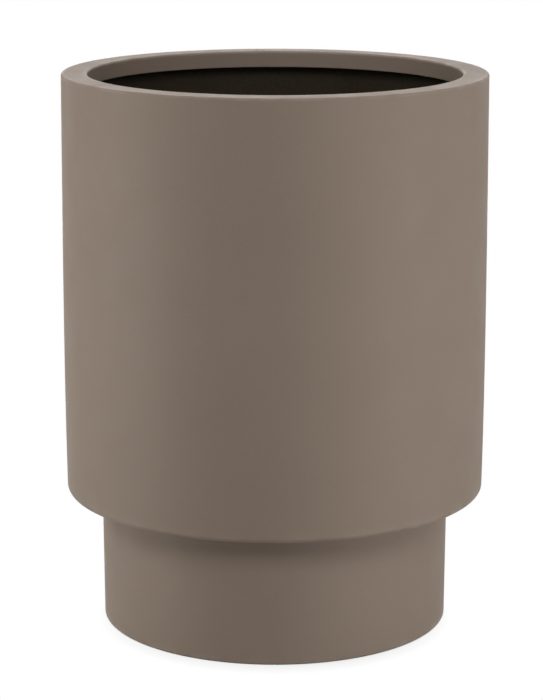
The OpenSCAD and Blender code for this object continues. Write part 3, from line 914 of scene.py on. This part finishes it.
# Drain plug
# A moulded rubber plug closes the drain when the planter stands indoors. Three round ribs on its stem
# seal in the sleeve, its head rests on the sleeve's flange, and it is pulled out by its upright tab.
plug_head_r, plug_head_top, plug_foot = 0.018, 0.161, 0.137
stem_r, rib_stand, rib_half, rib_pitch = 0.0112, 0.001, 0.0015, 0.005
plug_edge, head_foot_round, stem_root_round, stem_foot_round = 0.0012, 0.0005, 0.0006, 0.001
tab_half, tab_half_thick, tab_rise, tab_flare, foot_face_r = 0.008, 0.002, 0.005, 0.0014, 0.003
plug_c, plug_s = np.cos(sleeve_turn), np.sin(sleeve_turn)
tab_x = tab_half * np.sign(plug_c) * abs(plug_c) ** 0.5
tab_y = tab_half_thick * np.sign(plug_s) * abs(plug_s) ** 0.5


def plug_row(x, y, z):
    """One row of the plug's grid at height z, a number or one per column."""
    return np.stack([x, y, np.broadcast_to(z, x.shape)], axis=1)


# The tab's top is an arch: at arch angle f its half width is sin f of the full one and its height cos f
# of the arch's radius, and its thickness swells quickly with sin f to the power 0.4.
arch_z = plug_head_top + tab_rise
plug_rows = [plug_row(tab_x * math.sin(f), tab_y * math.sin(f) ** 0.4, arch_z + tab_half * math.cos(f))
             for f in np.linspace(0, math.pi / 2, 17)]
plug_rows[0] = plug_row(plug_c * 0, plug_s * 0, arch_z + tab_half)
plug_rows += [plug_row(tab_x, tab_y, z) for z in np.linspace(arch_z, plug_head_top + tab_flare, 4)[1:]]
# The flare at the tab's foot leaves its outline by a quarter circle.
for f in np.linspace(0, math.pi / 2, 6)[1:]:
    out = 1 - math.cos(f)
    plug_rows.append(plug_row(tab_x + plug_c * tab_flare * out, tab_y + plug_s * tab_flare * out,
                              plug_head_top + tab_flare * (1 - math.sin(f))))
# The head's flat top goes evenly from the flare's outline to the head's rim.
flared_x, flared_y = tab_x + plug_c * tab_flare, tab_y + plug_s * tab_flare
rim_of_head = plug_head_r - plug_edge
for t in np.linspace(0, 1, 7)[1:-1]:
    plug_rows.append(plug_row(flared_x * (1 - t) + plug_c * rim_of_head * t,
                              flared_y * (1 - t) + plug_s * rim_of_head * t, plug_head_top))
stem_z = np.linspace(dish_foot - stem_root_round, plug_foot + stem_foot_round, 52)
rib_centre = plug_foot + rib_pitch * np.clip(np.round((stem_z - plug_foot) / rib_pitch), 1, 3)
rib_part = np.clip((stem_z - rib_centre) / rib_half, -1, 1)
lower_profile = joined([
    (0, bend((rim_of_head, plug_head_top - plug_edge), plug_edge, 90, 0, 8)),
    (0, (plug_head_r, plug_head_top - plug_edge), 2),
    (0, bend((plug_head_r - head_foot_round, dish_foot + head_foot_round), head_foot_round, 0, -90, 4)),
    (0, (plug_head_r - head_foot_round, dish_foot), 4),
    (0, bend((stem_r + stem_root_round, dish_foot - stem_root_round), stem_root_round, 90, 180, 4)),
    (0, np.stack([stem_r + rib_stand * np.cos(rib_part * math.pi / 2) ** 2, stem_z], axis=1)),
    (0, bend((stem_r - stem_foot_round, plug_foot + stem_foot_round), stem_foot_round, 0, -90, 5)),
    (0, run((stem_r - stem_foot_round, plug_foot), (foot_face_r, plug_foot), 3)),
    (0, [(0.0, plug_foot)]),
])[0]
plug_rows += [plug_row(radius * plug_c, radius * plug_s, height) for radius, height in lower_profile]
plug = make_piece("rubber_plug", np.stack(plug_rows), [rubber], ends_meet=False)
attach(plug, "plug")
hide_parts("drain_plug")

# Studio
# A pale floor and a white surround. Soft lamps hang over the mouth, in front and behind, and stand
# at the left and the right. The floor throws back half of their light and shows as white. Under the
# plinth it keeps its whole shadow, and a share of it on a disc a little to the front, fading outwards.
floor_half, floor_drop = 6.0, 0.0002
shade_share, shade_r, shade_fade, shade_forward = 0.26, 0.195, 0.028, 0.022
under_fade, lamp_aim, surround_level = 0.002, 0.35, 0.01
studio_floor = new_object("studio_floor", bpy.data.meshes.new("studio_floor"))
studio_floor.data.from_pydata([(x * floor_half, y * floor_half, -floor_drop)
                               for x, y in ((-1, -1), (1, -1), (1, 1), (-1, 1))], [], [(0, 1, 2, 3)])


def seen_directly(tree):
    """One for rays from the camera and for mirrored and refracted ones, zero for all others."""
    path = shader_node(tree, "LightPath").outputs
    return sums(tree, "MAXIMUM", path["Is Camera Ray"],
                sums(tree, "MAXIMUM", path["Is Glossy Ray"], path["Is Transmission Ray"]))


floor_white = bpy.data.materials.new("floor_white")
floor_white.use_nodes = True
tree = floor_white.node_tree
tree.nodes.clear()
place = shader_node(tree, "TexCoord").outputs["Object"]
from_axis, from_disc = [
    shader_node(tree, "VectorMath", {0: place, 1: (0.0, y, 0.0)}, operation="DISTANCE").outputs["Value"]
    for y in (0.0, -shade_forward)]
shade = sums(tree, "MAXIMUM",
             between(tree, from_axis, plinth_foot_r - under_fade, plinth_foot_r, 1.0, 0.0),
             between(tree, from_disc, shade_r - shade_fade, shade_r, shade_share, 0.0))
lit, bounced = [shader_node(tree, "BsdfDiffuse", {"Color": (pale, pale, pale, 1)}).outputs[0]
                for pale in (0.9, 0.5)]
glow = shader_node(tree, "Emission", {"Color": (1, 1, 1, 1), "Strength": 1.0}).outputs[0]
shown = shader_node(tree, "MixShader", {0: shade, 1: glow, 2: lit}).outputs[0]
whole = shader_node(tree, "MixShader", {0: seen_directly(tree), 1: bounced, 2: shown})
tree.links.new(whole.outputs[0], shader_node(tree, "OutputMaterial").inputs["Surface"])
studio_floor.data.materials.append(floor_white)


def soft_lamp(name, turn, rise, away, width, height, watts):
    """A broad lamp that looks at the planter's axis, somewhat above its middle.

    It stands that far away, at that turn to the right of the camera's side and at that rise above
    level, in degrees. Its width and height are those of its face.
    """
    a, e = math.radians(turn), math.radians(rise)
    lamp = new_object(name, bpy.data.lights.new(name, "AREA"))
    lamp.visible_camera = False
    lamp.data.shape, lamp.data.size, lamp.data.size_y = "RECTANGLE", width, height
    lamp.data.energy = watts
    way = np.array([math.sin(a) * math.cos(e), -math.cos(a) * math.cos(e), math.sin(e)])
    lamp.location = way * away + [0, 0, lamp_aim]
    lamp.rotation_euler = (math.pi / 2 - e, 0, a)


soft_lamp("over", 0, 90, 1.3, 0.9, 0.3, 3.6)
soft_lamp("front", 0, 36, 3.4, 2.4, 1.2, 45.0)
soft_lamp("left", -82, -5, 1.7, 0.5, 0.38, 10.4)
soft_lamp("high_left", -80, 32, 1.8, 0.5, 0.6, 5.4)
soft_lamp("right", 64, -5, 1.7, 0.5, 0.38, 10.6)
soft_lamp("high_right", 70, 32, 1.8, 0.5, 0.6, 2.8)
soft_lamp("back", 180, -3, 2.2, 1.4, 0.44, 12.0)
soft_lamp("high_back", 180, 25, 2.6, 2.0, 1.0, 17.0)

world = bpy.data.worlds.new("surround")
world.use_nodes = True
bpy.context.scene.world = world
tree = world.node_tree
tree.nodes.clear()
dim, white = [shader_node(tree, "Background", {"Color": (1, 1, 1, 1), "Strength": level}).outputs[0]
              for level in (surround_level, 1.0)]
surround = shader_node(tree, "MixShader", {0: seen_directly(tree), 1: dim, 2: white}).outputs[0]
tree.links.new(surround, shader_node(tree, "OutputWorld").inputs["Surface"])
bpy.context.scene.view_settings.view_transform = "Standard"
